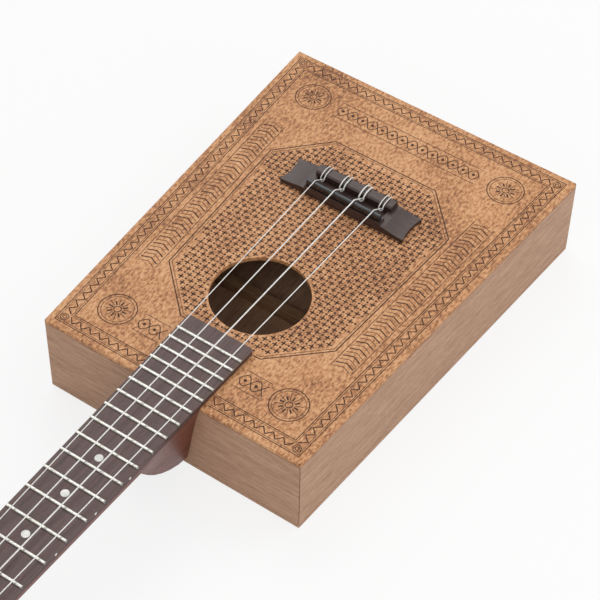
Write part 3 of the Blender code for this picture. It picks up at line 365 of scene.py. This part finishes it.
def bar(bm, a, b, width):
    """A thin raised bar between two plan points."""
    middle = (a + b) / 2
    turn = math.atan2((b - a).y, (b - a).x)
    place = Matrix.Translation((middle.x, middle.y, TOP_HIGH.z)) @ Matrix.Rotation(turn, 4, "Z")
    size = Matrix.Diagonal(((b - a).length, width, 2 * LINE_LIFT, 1.0))
    bmesh.ops.create_cube(bm, size=1.0, matrix=place @ size)


def stroke(bm, start, end, width):
    """A line of bars, left out where the top is open or covered."""
    start, end = Vector(start), Vector(end)
    count = max(1, int((end - start).length / STROKE_STEP))
    free = [not blocked(start.lerp(end, (k + 0.5) / count)) for k in range(count)]
    k = 0
    while k < count:
        if not free[k]:
            k += 1
            continue
        first = k
        while k < count and free[k]:
            k += 1
        bar(bm, start.lerp(end, first / count), start.lerp(end, k / count), width)


def dot(bm, point, radius, sides=8):
    if blocked(point, radius):
        return
    bmesh.ops.create_cone(bm, cap_ends=True, segments=sides, radius1=radius, radius2=radius,
                          depth=2 * LINE_LIFT,
                          matrix=Matrix.Translation((point[0], point[1], TOP_HIGH.z)))


def path(bm, points, width):
    for start, end in zip(points, points[1:]):
        stroke(bm, start, end, width)


def around(centre, radius, angle):
    return (centre[0] + radius * math.cos(angle), centre[1] + radius * math.sin(angle))


def ring_points(centre, radius, steps=16):
    return [around(centre, radius, math.radians(360.0 * k / steps)) for k in range(steps + 1)]


def border_corners(inset):
    low, high = TOP_LOW.y + inset, TOP_HIGH.y - inset
    return [(-half_width(low, inset), low), (half_width(low, inset), low),
            (half_width(high, inset), high), (-half_width(high, inset), high)]


def engrave_border(bm):
    """A zigzag between pairs of rules, with two plain rings at each corner."""
    for inset, width in BORDER_RULES:
        outline = border_corners(inset)
        path(bm, outline + outline[:1], width)
    corners = [Vector(corner) for corner in border_corners(BORDER_MIDDLE)]
    for start, end in zip(corners, corners[1:] + corners[:1]):
        along = (end - start).normalized()
        across = Vector((-along.y, along.x)) * ZIGZAG_SWING
        count = 2 * int((end - start).length / ZIGZAG_PITCH)
        turns = [start.lerp(end, k / count) + (across if k % 2 else -across)
                 for k in range(1, count)]
        path(bm, turns, BOLD)
    for corner in corners:
        for radius in CORNER_RINGS:
            path(bm, ring_points(corner, radius), LINE)


def field_half_width(y):
    return half_width(y, FIELD_INSET)


def field_outline(margin):
    """An oblong with its corners cut off, whose sides follow the taper of the box."""
    low = FIELD_CENTRE_Y - FIELD_HALF_LENGTH + margin
    high = FIELD_CENTRE_Y + FIELD_HALF_LENGTH - margin
    cut = FIELD_CUT - CUT_SHRINK * margin
    right = [(field_half_width(low) - margin - cut, low),
             (field_half_width(low + cut) - margin, low + cut),
             (field_half_width(high - cut) - margin, high - cut),
             (field_half_width(high) - margin - cut, high)]
    return right + [(-x, y) for x, y in reversed(right)]


def in_field(x, y, margin):
    """Whether a point is inside the field's outline and clear of it by a margin."""
    spare = FIELD_HALF_LENGTH - abs(y - FIELD_CENTRE_Y)
    reach = field_half_width(y)
    at_cut = reach - FIELD_CUT + spare - CUT_MARGIN_SHARE * margin
    return spare > margin and abs(x) < min(reach - margin, at_cut)


def engrave_field(bm):
    """Small upright crosses in staggered rows with dots between, inside a double outline."""
    for margin, width in FIELD_RULES:
        outline = field_outline(margin)
        path(bm, outline + outline[:1], width)
    rows = int(2 * FIELD_HALF_LENGTH / CROSS_PITCH)
    for row in range(-rows, rows + 1):
        y = FIELD_CENTRE_Y + row * CROSS_PITCH / 2
        for column in range(-FIELD_COLUMNS, FIELD_COLUMNS + 1):
            x = (column + (row % 2) / 2) * CROSS_PITCH
            if in_field(x, y, CROSS_MARGIN):
                stroke(bm, (x - CROSS_ARM, y), (x + CROSS_ARM, y), HEAVY)
                stroke(bm, (x, y - CROSS_ARM), (x, y + CROSS_ARM), HEAVY)
            if in_field(x + CROSS_PITCH / 2, y, FIELD_DOT_MARGIN):
                dot(bm, (x + CROSS_PITCH / 2, y), FIELD_DOT_RADIUS, sides=6)


def engrave_columns(bm):
    """A column of nested chevrons down each side, between single rules."""
    low, high = COLUMN_LOW, COLUMN_HIGH
    arm = COLUMN_HALF - CHEVRON_MARGIN
    count = int((high - low) / CHEVRON_PITCH)
    for side in (-1, 1):
        for inset in (COLUMN_INSET - COLUMN_HALF, COLUMN_INSET + COLUMN_HALF):
            stroke(bm, (side * half_width(low, inset), low),
                   (side * half_width(high, inset), high), THIN)
        for k in range(count):
            y = low + (high - low) * (k + CHEVRON_START) / count
            middle = side * half_width(y, COLUMN_INSET)
            chevron = [(middle - arm, y), (middle, y + CHEVRON_RISE), (middle + arm, y)]
            path(bm, chevron, HEAVY if k % 2 else THIN)


def engrave_rosettes(bm):
    """A plain rosette of bold and fine rays in rings, in each corner outside the field."""
    for y in (TOP_LOW.y + ROSETTE_INSET, TOP_HIGH.y - ROSETTE_INSET):
        for side in (-1, 1):
            centre = (side * half_width(y, ROSETTE_INSET), y)
            for radius, width in ROSETTE_RINGS:
                path(bm, ring_points(centre, radius, steps=24), width)
            for k in range(2 * RAY_PAIRS):
                turn = math.pi * k / RAY_PAIRS
                reach, width = (LONG_RAY, THIN) if k % 2 else (SHORT_RAY, RAY_BOLD)
                stroke(bm, around(centre, RAY_START, turn), around(centre, reach, turn), width)


def engrave_bands(bm):
    """Two interlaced waves with an eye in each loop, at the tail and beside the fingerboard."""
    for y, left, right in BAND_SPANS:
        for edge in (-BAND_HALF, BAND_HALF):
            stroke(bm, (left, y + edge), (right, y + edge), THIN)
        count = int((right - left) / BAND_STEP)
        for phase in (-1, 1):
            wave = [(left + (right - left) * k / count,
                     y + phase * BAND_SWING * math.sin(2 * math.pi * k * BAND_STEP / BAND_PERIOD))
                    for k in range(count + 1)]
            path(bm, wave, FIRM)
        for k in range(int((right - left) / (BAND_PERIOD / 2))):
            dot(bm, (left + (k + 0.5) * BAND_PERIOD / 2, y), BAND_EYE_RADIUS)


# Inlays and machine fittings

def fret_y(number):
    return SADDLE_Y - SCALE_LENGTH * 2 ** (-number / 12)


def disc(bm, radius, segments, place):
    bmesh.ops.create_cone(bm, cap_ends=True, segments=segments, radius1=radius, radius2=radius,
                          depth=DOT_THICKNESS, matrix=place)


def build_inlays(finish, settings):
    """Pearl dots in the spaces of the dotted frets, on the face and on both edges of the board."""
    bm = bmesh.new()
    for number in DOT_FRETS:
        y = (fret_y(number) + fret_y(number - 1)) / 2
        share = (y - BOARD_LOW.y) / (BOARD_HIGH.y - BOARD_LOW.y)
        edge = (BOARD_WIDTH_NUT + (BOARD_WIDTH_END - BOARD_WIDTH_NUT) * share) / 2
        disc(bm, settings.dot_diameter / 2, 32, Matrix.Translation((0, y, BOARD_HIGH.z)))
        for side in (-1, 1):
            place = Matrix.Translation((side * edge, y, BOARD_HIGH.z - SIDE_DOT_DEPTH))
            disc(bm, settings.side_dot_diameter / 2, 20,
                 place @ Matrix.Rotation(math.pi / 2, 4, "Y"))
    finish_piece("position_dots", bm, finish)


def joint_matrix(name):
    """A frame on a post's axis at the face of the headstock."""
    joint = next(j for j in frame["joints"] if j["name"] == name)
    axis = Vector(joint["axis"])
    if axis.z < 0:
        axis = -axis
    turn = Vector((0, 0, 1)).rotation_difference(axis).to_matrix().to_4x4()
    return Matrix.Translation(joint["pos_m"]) @ turn


def add_bushing(bm, rim):
    """A flanged ring, turned from its section about the post's axis."""
    section = ((BUSHING_BORE, BUSHING_BASE), (rim, BUSHING_BASE), (rim, BUSHING_FLANGE),
               (rim - BUSHING_SLOPE, BUSHING_TOP), (BUSHING_BORE, BUSHING_TOP))
    verts = [bm.verts.new((radius, 0, height)) for radius, height in section]
    edges = [bm.edges.new(pair) for pair in zip(verts, verts[1:] + verts[:1])]
    bmesh.ops.spin(bm, geom=[*verts, *edges], cent=(0, 0, 0), axis=(0, 0, 1),
                   angle=2 * math.pi, steps=BUSHING_STEPS, use_merge=True)


def build_bushings(finish, settings):
    """A flanged ring round each post and three round-headed screws in each machine plate."""
    flatten = Matrix.Diagonal((1, 1, SCREW_FLATTENING, 1))
    for string in STRINGS:
        bm = bmesh.new()
        add_bushing(bm, settings.bushing_diameter / 2)
        for x, y in SCREW_PLACES:
            bmesh.ops.create_uvsphere(bm, u_segments=16, v_segments=8, radius=SCREW_RADIUS,
                                      matrix=Matrix.Translation((x, y, PLATE_FACE)) @ flatten)
        bmesh.ops.transform(bm, matrix=joint_matrix("post_turn_" + string), verts=bm.verts)
        finish_piece("bushing_and_screws_" + string, bm, finish)


# Stage

def background_rays(tree):
    """One for rays that see the background directly, in metal or through glass."""
    rays = node(tree, "ShaderNodeLightPath").outputs
    direct = node(tree, "ShaderNodeMath", {"operation": "ADD"},
                  i0=rays["Is Camera Ray"], i1=rays["Is Glossy Ray"])
    every = node(tree, "ShaderNodeMath", {"operation": "ADD", "use_clamp": True},
                 i0=direct.outputs[0], i1=rays["Is Transmission Ray"])
    return every.outputs[0]


def build_floor(settings):
    """A white floor that keeps a soft shadow."""
    finish, tree, shader = new_material("white_paper_floor", 0.90)
    shader.inputs["Base Color"].default_value = (*settings.floor_colour, 1.0)
    bright = node(tree, "ShaderNodeEmission", Color=WHITE, Strength=1.0)
    share = node(tree, "ShaderNodeMath", {"operation": "MULTIPLY"},
                 i0=background_rays(tree), i1=FLOOR_WHITE_SHARE)
    blend = node(tree, "ShaderNodeMixShader", i0=share.outputs[0],
                 i1=shader.outputs[0], i2=bright.outputs[0])
    tree.links.new(blend.outputs[0], tree.nodes["Material Output"].inputs["Surface"])
    bm = bmesh.new()
    bmesh.ops.create_grid(bm, x_segments=1, y_segments=1, size=FLOOR_SIZE)
    mesh = bpy.data.meshes.new("floor")
    bm.to_mesh(mesh)
    bm.free()
    mesh.materials.append(finish)
    floor = bpy.data.objects.new("floor", mesh)
    floor.location.z = CAD_BOUNDS[0].z - FLOOR_DROP
    bpy.context.scene.collection.objects.link(floor)


def build_lamps(settings):
    for at, power, size in LAMPS:
        lamp = bpy.data.lights.new("softbox", "AREA")
        lamp.energy = power * settings.lamp_level
        lamp.size = size
        holder = bpy.data.objects.new("softbox", lamp)
        holder.location = at
        holder.rotation_euler = (LAMP_TARGET - Vector(at)).to_track_quat("-Z", "Y").to_euler()
        bpy.context.scene.collection.objects.link(holder)


def build_world():
    """A white background that lights the instrument at a lower level than it shows."""
    world = bpy.data.worlds.new("studio")
    world.use_nodes = True
    bpy.context.scene.world = world
    sky = world.node_tree
    level = node(sky, "ShaderNodeMapRange", Value=background_rays(sky),
                 To_Min=SKY_LEVEL, To_Max=1.0)
    background = sky.nodes["Background"]
    background.inputs["Color"].default_value = WHITE
    sky.links.new(level.outputs["Result"], background.inputs["Strength"])


def place_camera():
    camera = bpy.data.cameras.new("camera")
    camera.lens = CAMERA_LENS
    camera.sensor_width = CAMERA_SENSOR
    camera.clip_end = CAMERA_REACH
    holder = bpy.data.objects.new("camera", camera)
    tilt = Matrix.Rotation(math.radians(CAMERA_AZIMUTH), 4, "Z")
    tilt = tilt @ Matrix.Rotation(math.radians(90.0 - CAMERA_ELEVATION), 4, "X")
    tilt = tilt @ Matrix.Rotation(math.radians(CAMERA_ROLL), 4, "Z")
    holder.matrix_world = Matrix.Translation(CAMERA_AT) @ tilt
    bpy.context.scene.collection.objects.link(holder)
    bpy.context.scene.camera = holder


class UkuleleSettings(bpy.types.PropertyGroup):
    dot_diameter: bpy.props.FloatProperty(
        name="Dot diameter", description="Width of a position dot",
        default=0.005, subtype="DISTANCE")
    side_dot_diameter: bpy.props.FloatProperty(
        name="Side dot diameter", description="Width of a dot on the board's edge",
        default=0.0018, subtype="DISTANCE")
    bushing_diameter: bpy.props.FloatProperty(
        name="Bushing diameter", description="Width of the ring round a string post",
        default=0.011, subtype="DISTANCE")
    lamp_level: bpy.props.FloatProperty(
        name="Lamp level", description="Share of the lamps' power",
        default=1.0, subtype="FACTOR")
    floor_colour: bpy.props.FloatVectorProperty(
        name="Floor", description="Colour of the floor",
        default=(0.93, 0.93, 0.93), subtype="COLOR")


class UKULELE_OT_woods(bpy.types.Operator):
    """Gives every piece of the instrument its finish"""
    bl_idname = "ukulele.woods"
    bl_label = "Finish the pieces"

    def execute(self, context):
        dress_nodes()
        return {"FINISHED"}


class UKULELE_OT_engraving(bpy.types.Operator):
    """Engraves the top plate with a generic traditional ornament"""
    bl_idname = "ukulele.engraving"
    bl_label = "Engrave the top"

    def execute(self, context):
        makers = {"engraved_border": engrave_border, "engraved_field": engrave_field,
                  "engraved_columns": engrave_columns, "engraved_rosettes": engrave_rosettes,
                  "engraved_bands": engrave_bands}
        for name, maker in makers.items():
            bm = bmesh.new()
            maker(bm)
            finish_piece(name, bm, finishes()["burnt"])
        return {"FINISHED"}


class UKULELE_OT_inlays(bpy.types.Operator):
    """Lets the position dots into the fingerboard"""
    bl_idname = "ukulele.inlays"
    bl_label = "Position dots"

    def execute(self, context):
        build_inlays(finishes()["pearl"], context.scene.ukulele)
        return {"FINISHED"}


class UKULELE_OT_bushings(bpy.types.Operator):
    """Fits bushings and screws to the tuning machines"""
    bl_idname = "ukulele.bushings"
    bl_label = "Bushings and screws"

    def execute(self, context):
        build_bushings(finishes()["chrome"], context.scene.ukulele)
        return {"FINISHED"}


class UKULELE_OT_stage(bpy.types.Operator):
    """Builds the floor, the lamps, the background and the camera"""
    bl_idname = "ukulele.stage"
    bl_label = "Studio stage"

    def execute(self, context):
        build_floor(context.scene.ukulele)
        build_lamps(context.scene.ukulele)
        build_world()
        place_camera()
        bpy.context.scene.view_settings.view_transform = "Standard"
        return {"FINISHED"}


OPERATORS = (UKULELE_OT_woods, UKULELE_OT_engraving, UKULELE_OT_inlays, UKULELE_OT_bushings,
             UKULELE_OT_stage)


class UKULELE_PT_panel(bpy.types.Panel):
    bl_idname = "UKULELE_PT_panel"
    bl_label = "Cigar Box Ukulele"
    bl_space_type = "VIEW_3D"
    bl_region_type = "UI"
    bl_category = "Ukulele"

    def draw(self, context):
        for operator in OPERATORS:
            self.layout.operator(operator.bl_idname)


CLASSES = (UkuleleSettings, *OPERATORS, UKULELE_PT_panel)


def register():
    for item in CLASSES:
        bpy.utils.register_class(item)
    bpy.types.Scene.ukulele = bpy.props.PointerProperty(type=UkuleleSettings)


def unregister():
    del bpy.types.Scene.ukulele
    for item in reversed(CLASSES):
        bpy.utils.unregister_class(item)


def main():
    register()
    bpy.ops.ukulele.woods()
    bpy.ops.ukulele.engraving()
    bpy.ops.ukulele.inlays()
    bpy.ops.ukulele.bushings()
    bpy.ops.ukulele.stage()


if __name__ == "__main__":
    main()
